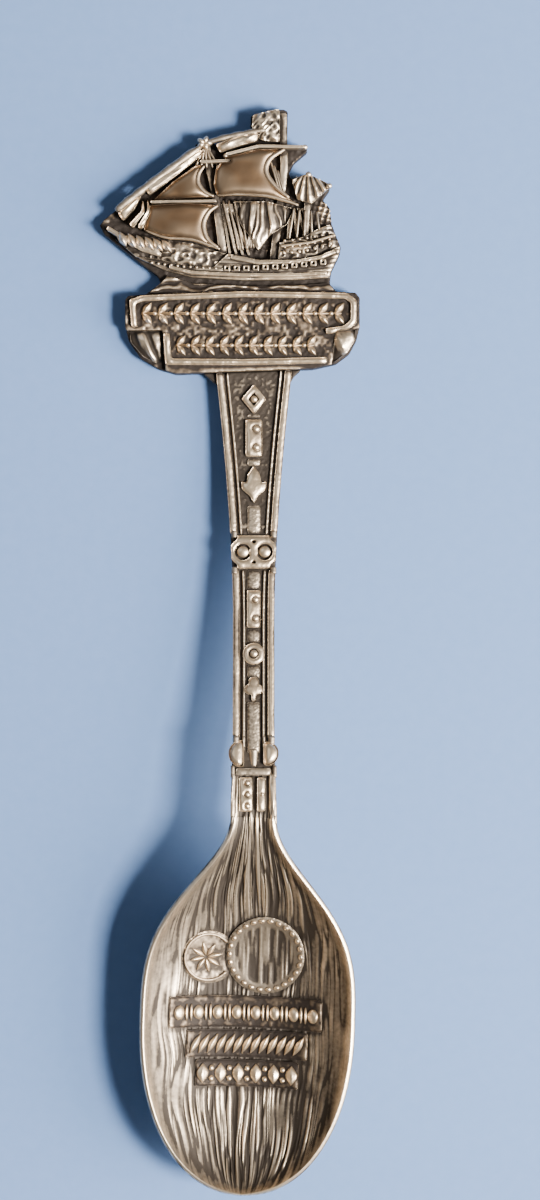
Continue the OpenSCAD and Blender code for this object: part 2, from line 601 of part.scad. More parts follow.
place("stem_trefoil") stem_trefoil();
place("finial_plate") finial_plate();
place("shoulders") shoulders();
place("ribbon_body") ribbon_body();
place("ribbon_border") ribbon_border();
place("ribbon_fold_left") ribbon_fold_left();
place("ribbon_fold_right") ribbon_fold_right();
place("ribbon_garland_upper") ribbon_garland_upper();
place("ribbon_garland_lower") ribbon_garland_lower();
place("sea") sea();
place("hull") hull();
place("wales") wales();
place("gun_ports") gun_ports();
place("forecastle") forecastle();
place("stern_castle") stern_castle();
place("stern_gallery") stern_gallery();
place("head_rails") head_rails();
place("fore_mast") fore_mast();
place("main_mast") main_mast();
place("mizzen_mast") mizzen_mast();
place("fore_course") fore_course();
place("fore_topsail") fore_topsail();
place("main_topsail") main_topsail();
place("main_course") main_course();
place("mizzen_sail") mizzen_sail();
place("spritsail") spritsail();
place("jib_drapes") jib_drapes();
place("fore_pennant") fore_pennant();
place("main_pennant") main_pennant();
place("masthead_flag") masthead_flag();
place("shrouds") shrouds();
place("yards") yards();
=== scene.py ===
"""Souvenir spoon in antiqued cast pewter: streaked bowl, arched stem, and a ribbon and galleon finial.

Shapes are worked in millimetres in the spoon's own frame and written out in metres at the end of
each piece, so that every finished object sits at the origin with its place in its mesh.
"""

import logging
import math
from dataclasses import dataclass, field
from enum import Enum
from typing import Callable, Iterable, Sequence

import bmesh
import bpy
import numpy as np
from mathutils import Matrix, Vector


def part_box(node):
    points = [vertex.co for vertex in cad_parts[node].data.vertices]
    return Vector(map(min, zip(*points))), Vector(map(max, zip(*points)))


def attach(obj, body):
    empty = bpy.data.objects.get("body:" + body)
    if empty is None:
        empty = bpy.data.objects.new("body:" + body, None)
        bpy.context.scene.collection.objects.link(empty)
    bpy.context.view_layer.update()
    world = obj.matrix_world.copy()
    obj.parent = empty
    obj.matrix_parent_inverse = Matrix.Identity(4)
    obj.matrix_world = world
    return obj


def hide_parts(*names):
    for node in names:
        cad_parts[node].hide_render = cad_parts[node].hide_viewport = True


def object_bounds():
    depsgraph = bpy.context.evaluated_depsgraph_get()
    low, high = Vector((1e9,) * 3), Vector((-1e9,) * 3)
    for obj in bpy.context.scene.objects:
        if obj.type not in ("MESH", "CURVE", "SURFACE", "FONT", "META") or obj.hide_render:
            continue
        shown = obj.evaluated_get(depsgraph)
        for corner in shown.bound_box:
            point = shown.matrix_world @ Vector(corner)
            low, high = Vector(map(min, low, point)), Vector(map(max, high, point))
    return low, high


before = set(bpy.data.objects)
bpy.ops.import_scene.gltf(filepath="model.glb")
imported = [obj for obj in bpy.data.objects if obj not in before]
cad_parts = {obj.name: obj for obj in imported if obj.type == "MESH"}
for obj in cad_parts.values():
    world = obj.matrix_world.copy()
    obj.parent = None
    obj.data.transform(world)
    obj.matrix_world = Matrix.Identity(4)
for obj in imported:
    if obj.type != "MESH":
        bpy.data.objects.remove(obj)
CAD_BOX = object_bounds()

log = logging.getLogger("spoon")
MM = 0.001
Array = np.ndarray
Carving = Callable[[Array, Array], Array]
Colour = tuple[float, float, float]
Point = tuple[float, float]


class Tone(Enum):
    """Which of the casting's finishes a feature shows."""

    BODY = "pewter"
    BRIGHT = "pewter_bright"
    DARK = "pewter_dark"
    SAIL = "pewter_sail"


def box_mm(node: str) -> tuple[Vector, Vector]:
    """Lowest and highest corners of a CAD node, in millimetres."""
    low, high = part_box(node)
    return low / MM, high / MM


PLATE_LOW, PLATE_HIGH = box_mm("finial_plate")
CORE_LOW, CORE_HIGH = box_mm("stem_core")
BOX_MM = [[c / MM for c in corner] for corner in CAD_BOX]
# The finial is drawn from the middle of the ribbon's top edge, the spoon from the bowl's tip.
FINIAL = Vector((PLATE_LOW.x + 14.05, PLATE_HIGH.y - 17.75, PLATE_HIGH.z))
SPOON = Vector(((CORE_LOW.x + CORE_HIGH.x) / 2, -52.5, 0.0))


# ---- Fields ---------------------------------------------------------------------------------
def lattice_noise(x: Array, y: Array, seed: int) -> Array:
    """Smooth random field over a unit lattice.

    Args:
        x: First coordinate, one lattice cell per unit.
        y: Second coordinate, one lattice cell per unit.
        seed: Which field.

    Returns:
        Values from -1 to 1, of the coordinates' shape.
    """
    table = np.random.default_rng(seed).uniform(-1, 1, (256, 256))
    xi, yi = np.floor(x).astype(int), np.floor(y).astype(int)
    fx, fy = x - xi, y - yi
    fx, fy = fx * fx * (3 - 2 * fx), fy * fy * (3 - 2 * fy)
    a, b = table[xi % 256, yi % 256], table[(xi + 1) % 256, yi % 256]
    c, d = table[xi % 256, (yi + 1) % 256], table[(xi + 1) % 256, (yi + 1) % 256]
    return (a * (1 - fx) + b * fx) * (1 - fy) + (c * (1 - fx) + d * fx) * fy


def ease(t: Array) -> Array:
    """Smooth step from 0 to 1."""
    c = np.clip(t, 0, 1)
    return c * c * (3 - 2 * c)


def groove(v: Array, pitch: float, width: float) -> Array:
    """Share from 0 to 1 of a narrow line repeated every pitch along v."""
    off = (v / pitch - np.round(v / pitch)) * pitch
    return np.exp(-((off / width) ** 2))


# ---- Finishes -------------------------------------------------------------------------------
@dataclass(frozen=True)
class Pewter:
    """Antiqued pewter: dark patina in the hollows and rubbed metal on the high places.

    Attributes:
        tone: Which finish this is; its value names the material.
        deep: Colour of the patina in the hollows.
        body: Colour of the flats.
        rubbed: Colour of the worn edges.
        gloss: Roughness of the rubbed metal.
        matt: Roughness of the patina.
        grain: Height of the cast grain, in metres.
        shift: Added to the wear, so that a finish is brighter or darker as a whole.
        mottle: How strongly stains and specks break up the wear.
    """

    tone: Tone
    deep: Colour
    body: Colour
    rubbed: Colour
    gloss: float = 0.34
    matt: float = 0.62
    grain: float = 0.00002
    shift: float = 0.0
    mottle: float = 1.0

    def material(self) -> bpy.types.Material:
        """Node material that reads the wear painted on the mesh.

        Returns:
            The finished material.
        """
        mat = bpy.data.materials.new(self.tone.value)
        mat.use_nodes = True
        tree = mat.node_tree
        new, link = tree.nodes.new, tree.links.new
        shader = tree.nodes["Principled BSDF"]
        place = new("ShaderNodeTexCoord").outputs["Object"]
        wear = new("ShaderNodeAttribute")
        wear.attribute_name = "wear"

        def cloud(scale: float, detail: float) -> bpy.types.NodeSocket:
            """Noise on the object's own coordinates."""
            node = new("ShaderNodeTexNoise")
            node.inputs["Scale"].default_value = scale
            node.inputs["Detail"].default_value = detail
            link(place, node.inputs["Vector"])
            return node.outputs["Fac"]

        def sum_of(a: bpy.types.NodeSocket, b: bpy.types.NodeSocket, share: float,
                   start: float) -> bpy.types.NodeSocket:
            """a + share * b + start, as one socket."""
            node = new("ShaderNodeMath")
            node.operation = "MULTIPLY_ADD"
            node.inputs[1].default_value = share
            link(b, node.inputs[0])
            link(a, node.inputs[2])
            last = new("ShaderNodeMath")
            last.operation = "ADD"
            last.inputs[1].default_value = start
            link(node.outputs[0], last.inputs[0])
            return last.outputs[0]

        stain, speckle = cloud(260, 4), cloud(2600, 3)
        stained, specked = 0.38 * self.mottle, 0.36 * self.mottle
        rub = sum_of(wear.outputs["Fac"], stain, stained, self.shift - stained / 2)
        rub = sum_of(rub, speckle, specked, -specked / 2)
        ramp = new("ShaderNodeValToRGB")
        stops = ramp.color_ramp.elements
        stops[0].position, stops[0].color = 0.12, (*self.deep, 1)
        stops[1].position, stops[1].color = 0.92, (*self.rubbed, 1)
        mid = stops.new(0.48)
        mid.color = (*self.body, 1)
        link(rub, ramp.inputs[0])
        link(ramp.outputs["Color"], shader.inputs["Base Color"])
        for socket, *ends in (("Roughness", 0.1, 0.9, self.matt, self.gloss),
                              ("Metallic", 0.05, 0.45, 0.55, 0.96)):
            span = new("ShaderNodeMapRange")
            for name, value in zip(("From Min", "From Max", "To Min", "To Max"), ends):
                span.inputs[name].default_value = value
            link(rub, span.inputs["Value"])
            link(span.outputs[0], shader.inputs[socket])
        bump = new("ShaderNodeBump")
        bump.inputs["Strength"].default_value = 1.0
        bump.inputs["Distance"].default_value = self.grain
        link(sum_of(speckle, stain, 0.6, 0), bump.inputs["Height"])
        link(bump.outputs[0], shader.inputs["Normal"])
        return mat


FINISHES = (
    Pewter(Tone.BODY, (0.036, 0.028, 0.022), (0.32, 0.264, 0.205), (0.87, 0.715, 0.535)),
    Pewter(Tone.BRIGHT, (0.052, 0.040, 0.031), (0.42, 0.33, 0.24), (0.91, 0.73, 0.52), gloss=0.33),
    Pewter(Tone.DARK, (0.022, 0.016, 0.013), (0.18, 0.137, 0.10), (0.70, 0.56, 0.40), gloss=0.40,
           matt=0.66, shift=-0.06),
    Pewter(Tone.SAIL, (0.055, 0.034, 0.020), (0.20, 0.128, 0.075), (0.29, 0.21, 0.14), gloss=0.38,
           matt=0.44, grain=0.000004, mottle=0.15),
)


# ---- Workshop -------------------------------------------------------------------------------
def placed(name: str, data: bpy.types.ID) -> bpy.types.Object:
    """A new object in the scene, at the origin."""
    thing = bpy.data.objects.new(name, data)
    bpy.context.scene.collection.objects.link(thing)
    return thing


@dataclass
class Workshop:
    """Makes meshes into pieces of the casting, and paints the wear over all of them at the end."""

    materials: dict[Tone, bpy.types.Material] = field(default_factory=dict)
    pieces: list[bpy.types.Object] = field(default_factory=list)
    carved: list[Array] = field(default_factory=list)

    def __post_init__(self) -> None:
        """Mixes the finishes."""
        self.materials = {finish.tone: finish.material() for finish in FINISHES}

    def blank(self, node: str, sink: float) -> bmesh.types.BMesh:
        """Copy of a CAD node in millimetres, with its foot let into what it stands on.

        Args:
            node: The CAD node.
            sink: How far down the foot goes.

        Returns:
            A closed mesh.
        """
        bm = bmesh.new()
        bm.from_mesh(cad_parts[node].data)
        bmesh.ops.scale(bm, vec=(1 / MM,) * 3, verts=bm.verts)
        bmesh.ops.remove_doubles(bm, verts=bm.verts, dist=0.002)
        bm.normal_update()
        foot = {v for f in bm.faces if f.normal.z < -0.5 for v in f.verts}
        bmesh.ops.translate(bm, vec=(0, 0, -sink), verts=list(foot))
        return bm

    def cast(self, bm: bmesh.types.BMesh, voxel: float, passes: int) -> bmesh.types.BMesh:
        """Recasts a mesh as one skin with the soft edges of a casting.

        Args:
            bm: The sharp shape, which is used up.
            voxel: Size of the skin's cells.
            passes: How many times it is smoothed.

        Returns:
            The softened shape.
        """
        mesh = bpy.data.meshes.new("sharp")
        bm.to_mesh(mesh)
        bm.free()
        rough = placed("sharp", mesh)
        skin = rough.modifiers.new("skin", "REMESH")
        skin.mode = "VOXEL"
        skin.voxel_size = voxel
        cast = bpy.data.meshes.new_from_object(
            rough.evaluated_get(bpy.context.evaluated_depsgraph_get()))
        bpy.data.objects.remove(rough)
        bpy.data.meshes.remove(mesh)
        bm = bmesh.new()
        bm.from_mesh(cast)
        bpy.data.meshes.remove(cast)
        for _ in range(passes):
            bmesh.ops.smooth_vert(bm, verts=bm.verts, factor=0.5, use_axis_x=True, use_axis_y=True,
                                  use_axis_z=True)
        return bm

    @staticmethod
    def vectors(mesh: bpy.types.Mesh) -> tuple[Array, Array]:
        """A mesh's vertices and their normals, a row each."""
        place, normal = (np.empty(len(mesh.vertices) * 3, np.float32) for _ in range(2))
        mesh.vertices.foreach_get("co", place)
        mesh.vertex_normals.foreach_get("vector", normal)
        return place.reshape(-1, 3).astype(float), normal.reshape(-1, 3)

    def finish(self, bm: bmesh.types.BMesh, name: str, tone: Tone, nodes: Iterable[str] = (),
               carving: Carving | None = None, formed: float = 0.0, domed: float = 0.0,
               raised: Carving | None = None) -> None:
        """Carves a mesh from above, writes it out in metres and dresses it.

        Args:
            bm: The shape in millimetres, which is used up.
            name: The piece's name.
            tone: Its finish.
            nodes: CAD nodes that it stands for.
            carving: Height to add at places on the upper side.
            formed: Above this height the mesh has its carving already, and only its wear is wanted.
            domed: How far the top falls away towards its edges.
            raised: Height to add on the upper side that leaves the patina as it is.
        """
        bm.normal_update()
        mesh = bpy.data.meshes.new(name)
        bm.to_mesh(mesh)
        bm.free()
        place, normal = self.vectors(mesh)
        depth = np.zeros(len(place))
        up = ease((normal[:, 2] - 0.15) / 0.6)
        if carving is not None:
            depth = carving(place[:, 0], place[:, 1]) * up
            if formed:
                depth = depth * (place[:, 2] > formed)
            else:
                place[:, 2] += depth
        if domed:
            place[:, 2] -= domed * up * (2 - 2 * self.inwardness(place))
        if raised is not None:
            place[:, 2] += raised(place[:, 0], place[:, 1]) * up
        place = np.clip(place, *BOX_MM)
        mesh.vertices.foreach_set("co", (place * MM).astype(np.float32).ravel())
        mesh.shade_smooth()
        mesh.update()
        piece = placed(name, mesh)
        piece.data.materials.append(self.materials[tone])
        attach(piece, "root")
        if nodes:
            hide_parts(*nodes)
        self.pieces.append(piece)
        self.carved.append(depth)
        log.info("%s: %d faces", name, len(mesh.polygons))

    def inwardness(self, place: Array, reach: float = 0.3, cell: float = 0.1) -> Array:
        """How far inside a piece's outline each place is, seen from above.

        Args:
            place: The piece's vertices in millimetres.
            reach: Distance over which the share grows.
            cell: Size of the map's cells.

        Returns:
            Half at the outline, 1 well inside it.
        """
        low = place.min(0) - 6 * reach
        size = np.ceil((place.max(0) - low + 6 * reach) / cell).astype(int)
        metal = np.zeros((size[0], size[1]))
        cells = ((place - low) / cell).astype(int)
        metal[cells[:, 0], cells[:, 1]] = 1
        share = self.spread(metal, reach / cell)
        return np.clip(self.sampled(share, (place - low) / cell), 0.5, 1)

    def recast(self, node: str, tone: Tone, voxel: float = 0.08, passes: int = 3,
               sink: float = 0.25, carving: Carving | None = None, domed: float = 0.0) -> None:
        """A CAD node's shape, softened as a casting, in place of the node."""
        bm = self.cast(self.blank(node, sink), voxel, passes)
        self.finish(bm, "cast_" + node, tone, [node], carving, domed=domed)

    def paint_wear(self, cell: float = 0.1) -> None:
        """Paints every piece with how far each place stands above or below its surroundings.

        Args:
            cell: Size of the height map's cells, in millimetres.
        """
        places, normals = [], []
        for piece in self.pieces:
            co, no = self.vectors(piece.data)
            places.append(co / MM)
            normals.append(no)
        everything = np.concatenate(places)
        low = everything.min(0) - 4
        size = np.ceil((everything.max(0) + 4 - low) / cell).astype(int)
        height = np.full((size[0], size[1]), -1.0)
        cells = ((everything - low) / cell).astype(int)
        np.maximum.at(height, (cells[:, 0], cells[:, 1]), everything[:, 2])
        there = (height >= 0).astype(float)
        height = np.where(height >= 0, height, 0)
        fine, broad = (self.blurred(height, there, s / cell) for s in (0.28, 0.95))
        for piece, co, no, depth in zip(self.pieces, places, normals, self.carved):
            spot = (co - low) / cell
            z = co[:, 2]
            level = ease((no[:, 2] - 0.45) / 0.4)
            near = np.clip((z - self.sampled(fine, spot)) / 0.26, -0.48, 0.45)
            far = np.clip((z - self.sampled(broad, spot)) / 1.3, -0.45, 0.35)
            wear = (0.44 + near * (0.25 + 0.75 * level) + far * (0.4 + 0.6 * level)
                    + np.clip(depth / 0.23, -0.45, 0.38))
            wear = np.where(no[:, 2] < -0.1, 0.5, wear)
            layer = piece.data.attributes.new("wear", "FLOAT", "POINT")
            layer.data.foreach_set("value", np.clip(wear, 0, 1).astype(np.float32))

    @staticmethod
    def spread(chart: Array, sigma: float) -> Array:
        """A map blurred by sigma cells."""
        reach = [np.fft.fftfreq(n) * n for n in chart.shape]
        bell = np.exp(-(reach[0][:, None] ** 2 + reach[1][None, :] ** 2) / (2 * sigma ** 2))
        return np.fft.ifft2(np.fft.fft2(chart) * np.fft.fft2(bell / bell.sum())).real

    def blurred(self, height: Array, there: Array, sigma: float) -> Array:
        """Height map blurred over the cells that hold metal, which are 1 in there."""
        return self.spread(height * there, sigma) / np.maximum(self.spread(there, sigma), 1e-6)

    @staticmethod
    def sampled(chart: Array, spot: Array) -> Array:
        """A map read between its cells.

        Args:
            chart: The map.
            spot: Places counted in cells, of which the first two columns are used.

        Returns:
            The map's value at each place.
        """
        x = np.clip(spot[:, 0] - 0.5, 0, chart.shape[0] - 1.001)
        y = np.clip(spot[:, 1] - 0.5, 0, chart.shape[1] - 1.001)
        i, j = x.astype(int), y.astype(int)
        fx, fy = x - i, y - j
        return ((chart[i, j] * (1 - fx) + chart[i + 1, j] * fx) * (1 - fy)
                + (chart[i, j + 1] * (1 - fx) + chart[i + 1, j + 1] * fx) * fy)


def rod(bm: bmesh.types.BMesh, points: Sequence[Vector], radii: Sequence[float],
        sides: int = 8) -> None:
    """Adds a rod: a circle extruded from point to point.

    Args:
        bm: The mesh it joins.
        points: Its middle line.
        radii: Its radius at each point.
        sides: Facets round it.
    """
    first = points[1] - points[0]
    turn = first.to_track_quat("Z", "Y").to_matrix().to_4x4()
    ring = bmesh.ops.create_circle(bm, cap_ends=True, segments=sides, radius=radii[0],
                                   matrix=Matrix.Translation(points[0]) @ turn)["verts"]
    edges = list({e for v in ring for e in v.link_edges})
    heading = first.normalized()
    for k in range(1, len(points)):
        grown = bmesh.ops.extrude_edge_only(bm, edges=edges)["geom"]
        ring = [g for g in grown if isinstance(g, bmesh.types.BMVert)]
        edges = [g for g in grown if isinstance(g, bmesh.types.BMEdge)]
        bmesh.ops.translate(bm, vec=points[k] - points[k - 1], verts=ring)
        onward = (points[min(k + 1, len(points) - 1)] - points[k - 1]).normalized()
        bmesh.ops.rotate(bm, cent=points[k], verts=ring,
                         matrix=heading.rotation_difference(onward).to_matrix())
        size = radii[k] / radii[k - 1]
        bmesh.ops.scale(bm, vec=(size,) * 3, verts=ring, space=Matrix.Translation(-points[k]))
        heading = onward
    bmesh.ops.contextual_create(bm, geom=edges)


def curve_through(points: Sequence[Vector], per_span: int = 5) -> list[Vector]:
    """Smooth line through points.

    Args:
        points: Places that it passes.
        per_span: Steps between two of them.

    Returns:
        Points along the line.
    """
    line = []
    for k in range(len(points) - 1):
        a, b = points[max(k - 1, 0)], points[k]
        c, d = points[k + 1], points[min(k + 2, len(points) - 1)]
        for j in range(per_span):
            t = j / per_span
            line.append(0.5 * (2 * b + (c - a) * t + (2 * a - 5 * b + 4 * c - d) * t * t
                               + (3 * b - a - 3 * c + d) * t ** 3))
    return line + [points[-1]]


def dome(bm: bmesh.types.BMesh, centre: Vector, size: Vector, turn: float = 0.0,
         fineness: int = 2) -> None:
    """Adds a ball squashed to half-sizes, turned about the upright.

    Args:
        bm: The mesh it joins.
        centre: Its middle.
        size: Half its length, width and height.
        turn: Turn in degrees.
        fineness: Subdivisions of the ball.
    """
    place = (Matrix.Translation(centre) @ Matrix.Rotation(math.radians(turn), 4, "Z")
             @ Matrix.Diagonal((*size, 1)))
    bmesh.ops.create_icosphere(bm, subdivisions=fineness, radius=1, matrix=place)


def leaf(bm: bmesh.types.BMesh, centre: Vector, length: float, width: float, height: float,
         turn: float) -> None:
    """Adds a pointed leaf with a raised midrib.

    Args:
        bm: The mesh it joins.
        centre: Its middle, on the ground it stands on.
        length: Tip to tip.
        width: Across.
        height: Above the ground.
        turn: Turn in degrees.
    """
    blade = bmesh.new()
    bmesh.ops.create_icosphere(blade, subdivisions=3, radius=1)
    for v in blade.verts:
        x, y, z = v.co
        pinch = 1 - 0.75 * x * x
        rib = 0.3 * math.exp(-(y / 0.22) ** 2) * (1 - x * x)
        v.co = (x * length / 2, y * pinch * width / 2, (z * 0.8 + rib) * height)
    bmesh.ops.transform(blade, verts=blade.verts, matrix=Matrix.Translation(centre)
                        @ Matrix.Rotation(math.radians(turn), 4, "Z"))
    spare = bpy.data.meshes.new("leaf")
    blade.to_mesh(spare)
    blade.free()
    bm.from_mesh(spare)
    bpy.data.meshes.remove(spare)


# ---- Bowl -----------------------------------------------------------------------------------
@dataclass
class Bowl:
    """The oval bowl, streaked along its length, with a raised emblem and three bands."""

    shop: Workshop
    width: float = 20.7
    mid: float = 16.5
    length: float = 36.5
    depth: float = 5.0
    wall: float = 1.3
    turn: float = 1.8
    neck_half: float = 2.2
    neck_z: float = 8.7
    core: float = 1.7
    sink: float = 0.6
    rim: float = 0.42
    streak: float = 0.17
    large_disc: Point = (1.5, 22.7)
    bead_ring: float = 3.42
    beads: int = 26
    flower: Point = (-4.2, 22.4)
    petals: int = 8
    band_y: tuple[float, float, float] = (17.0, 13.95, 11.1)

    def half(self, y: Array) -> Array:
        """Half width at y."""
        tip = self.width / 2 * (1 - np.clip((self.mid - y) / self.mid, 0, 1) ** 2.15) ** (1 / 2.15)
        share = np.clip((y - self.mid) / (self.length - self.mid), 0, 1)
        neck = (self.neck_half + (self.width / 2 - self.neck_half)
                * (1 + np.cos(np.pi * share ** 1.6)) / 2)
        return np.where(y <= self.mid, tip, neck)

    def rim_z(self, y: Array) -> Array:
        """Height of the rim."""
        level = self.depth + self.wall
        return (level - 0.3 * np.clip((self.mid - y) / self.mid, 0, 1) ** 2
                + (self.neck_z - level) * ease((y - 18) / (self.length - 18)))

    def hollow(self, y: Array) -> Array:
        """Depth below the rim."""
        half = self.half(y)
        tip = self.depth * (half / (self.width / 2)) ** 1.15
        share = np.clip((half - self.neck_half) / (self.width / 2 - self.neck_half), 0, 1)
        return np.where(y <= self.mid, tip, self.sink + (self.depth - self.sink) * share ** 0.85)

    def near_neck(self, y: Array) -> Array:
        """Share from 0 to 1 over the last stretch to the stem."""
        return ease((y - self.length + 8.5) / 8.5)

    def floor(self, u: Array, y: Array) -> Array:
        """Height of the floor at width share u."""
        dish = 2.4 + 4 * self.near_neck(y)
        return self.rim_z(y) - self.hollow(y) * (1 - np.abs(u) ** dish)

    def back(self, u: Array, y: Array) -> Array:
        """Height of the back at width share u."""
        near = self.near_neck(y)
        drop = self.hollow(y) * (1 - np.abs(u) ** (2.4 + 4 * near))
        wall = self.wall + (self.core - self.wall) * near
        return self.rim_z(y) - wall - drop - near * (self.sink - np.minimum(self.sink, drop))

    def streaks(self, x: Array, y: Array) -> Array:
        """Bark-like ridges that draw together at the neck and the tip."""
        spread = np.maximum(self.half(y) / (self.width / 2), 0.02) ** 0.5
        q = x / spread
        q = q + 0.30 * lattice_noise(q / 2.4 + 30, y / 4.2 + 30, 6)
        fine = lattice_noise(q / 0.21 + 40, y / 4.5 + 9, 3)
        broad = lattice_noise(q / 0.50 + 40, y / 6.0 + 9, 11)
        cuts = (np.exp(-(lattice_noise(q / 0.46 + 80, y / 7.0 + 5, 4) / 0.20) ** 2)
                + 0.7 * np.exp(-(lattice_noise(q / 0.33 + 60, y / 4.8 + 70, 7) / 0.20) ** 2))
        patch = 0.90 + 0.65 * lattice_noise(x / 1.3 + 20, y / 2.4 + 20, 5)
        ends = 0.75 + 0.55 * ease((y - 24) / 6) + 0.60 * ease((10 - y) / 3)
        side = 0.50 + 0.50 * ease((8.8 - np.abs(x)) / 4.5)
        return (self.streak * patch * side * ends
                * (0.45 * fine + 0.35 * broad - 0.85 * np.minimum(cuts, 1.1) + 0.25))

    def place(self, x: Array, y: Array) -> tuple[Array, Array]:
        """Turns the bowl's own x and y about the neck and into the spoon's place."""
        a = -math.radians(self.turn)
        dy = y - self.length
        return (SPOON.x + x * math.cos(a) - dy * math.sin(a),
                SPOON.y + self.length + x * math.sin(a) + dy * math.cos(a))

    def own(self, x: Array, y: Array) -> tuple[Array, Array]:
        """The bowl's own x and y of a place on the finished spoon."""
        a = math.radians(self.turn)
        dx, dy = x - SPOON.x, y - SPOON.y - self.length
        return dx * math.cos(a) - dy * math.sin(a), self.length + dx * math.sin(a) + dy * math.cos(a)

    def sheet(self, bm: bmesh.types.BMesh, across: int, along: int, upper: bool) -> None:
        """Adds the bowl's floor or its back: a flat grid, formed to the surface.

        Args:
            bm: The mesh it joins.
            across: Cells across the bowl.
            along: Cells along it.
            upper: Whether it is the floor.
        """
        verts = bmesh.ops.create_grid(bm, x_segments=across, y_segments=along, size=1)["verts"]
        s, t = np.array([v.co[:2] for v in verts], float).T
        u = np.sin(s * np.pi / 2) * 0.2 + s * 0.8
        t = (t + 1) / 2
        y = np.where(t < 0.4, self.mid * (1 - np.cos(np.pi / 2 * t / 0.4)),
                     self.mid + (self.length - self.mid) * (t - 0.4) / 0.6)
        half = self.half(y)
        slope = (self.half(y + 0.01) - self.half(np.maximum(y - 0.01, 0))) / 0.02
        x = u * half
        inset = half * (1 - np.abs(u)) / np.sqrt(1 + slope ** 2)
        top = self.rim_z(y) - 0.1
        edge = top - self.rim
        if upper:
            floor = self.floor(u, y) + self.streaks(x, y) * ease((inset - 0.7) / 1.2)
            lift = top - self.floor(1 - self.rim / np.maximum(half, 1), y)
            bead = np.sqrt(np.clip(self.rim ** 2 - (self.rim - inset) ** 2, 0, None))
            z = np.where(inset < self.rim, edge + bead,
                         floor + lift * np.exp(-((inset - self.rim) / (0.9 * self.rim)) ** 2))
        else:
            back = self.back(u, y) + 0.45 * np.exp(-inset / 1.6) * (1 - self.near_neck(y))
            z = back + (edge - back) * np.exp(-inset / 0.16)
        px, py = self.place(x, y)
        for v, *co in zip(verts, px, py, z):
            v.co = co
        if not upper:
            bmesh.ops.reverse_faces(bm, faces=list({f for v in verts for f in v.link_faces}))

    def build_shell(self) -> None:
        """Floor and back, joined along the rim and closed at the neck."""
        bm = bmesh.new()
        self.sheet(bm, 310, 215, upper=True)
        self.sheet(bm, 56, 215, upper=False)
        bmesh.ops.remove_doubles(bm, verts=bm.verts, dist=0.004)
        neck = [e for e in bm.edges if e.is_boundary]
        bmesh.ops.holes_fill(bm, edges=neck, sides=0)
        for edge in neck:
            edge.smooth = False

        def grain(x: Array, y: Array) -> Array:
            """The streaks, as they already stand in the floor."""
            return self.streaks(*self.own(x, y))

        self.shop.finish(bm, "cast_bowl", Tone.BODY, ["bowl"], grain, formed=1.25)

    def on_floor(self, bm: bmesh.types.BMesh) -> None:
        """Lays shapes made flat, in the bowl's own x and y, on the floor."""
        x, y, z = np.array([v.co for v in bm.verts], float).T
        px, py = self.place(x, y)
        pz = z + self.floor(x / self.half(y), y)
        for v, *co in zip(bm.verts, px, py, pz):
            v.co = co

    def build_emblem(self) -> None:
        """Two overlapping discs with a ring of beads and a star, over three bands."""
        def lined(x: Array, y: Array) -> Array:
            """Upright lines across the large disc."""
            bx, by = self.own(x, y)
            cx, cy = self.large_disc
            inside = ease((3.1 - np.hypot(bx - cx, by - cy)) / 0.5)
            return inside * (0.09 * lattice_noise(bx / 0.2, by / 2.6, 8) - 0.03)

        def mottled(x: Array, y: Array) -> Array:
            """Soft unevenness of the bands."""
            return (0.03 * lattice_noise(x / 0.4, y / 1.1, 9)
                    + 0.02 * lattice_noise(x / 0.25, y / 0.25, 10))

        def sunk(x: Array, y: Array) -> Array:
            """The same, let down a little so that it holds more patina."""
            return mottled(x, y) - 0.05

        shop = self.shop
        shop.recast("emblem_disc_large", Tone.BODY, 0.09, 6, carving=lined, domed=0.12)
        shop.recast("emblem_disc_small", Tone.BRIGHT, 0.09, 5, carving=mottled, domed=0.12)
        for band in ("upper", "middle", "lower"):
            shop.recast("emblem_row_" + band, Tone.DARK, 0.09, 12, carving=sunk, domed=0.12)
        bm = bmesh.new()
        (cx, cy), r = self.large_disc, self.bead_ring
        for i in range(self.beads):
            a = math.tau * i / self.beads
            dome(bm, Vector((cx + r * math.cos(a), cy + r * math.sin(a), 0.36)),
                 Vector((0.3, 0.24, 0.2)), math.degrees(a) + 90)
        self.on_floor(bm)
        shop.finish(bm, "emblem_beads", Tone.BRIGHT, ["emblem_ring"])
        bm = bmesh.new()
        cx, cy = self.flower
        for i in range(self.petals):
            turn = 360 // self.petals * i + 11
            a = math.radians(turn)
            base = Vector((cx + 0.85 * math.cos(a), cy + 0.85 * math.sin(a), 0.2))
            leaf(bm, base, 1.5, 0.5, 0.28, turn)
        circle = [Vector((-3.95 + 2.25 * math.cos(a), cy + 2.3 * math.sin(a), 0.25))
                  for a in np.radians(np.linspace(40, 320, 40))]
        rod(bm, circle, [0.16] * 40, 6)
        self.on_floor(bm)
        shop.finish(bm, "emblem_star_flower", Tone.BRIGHT, ["emblem_star"])

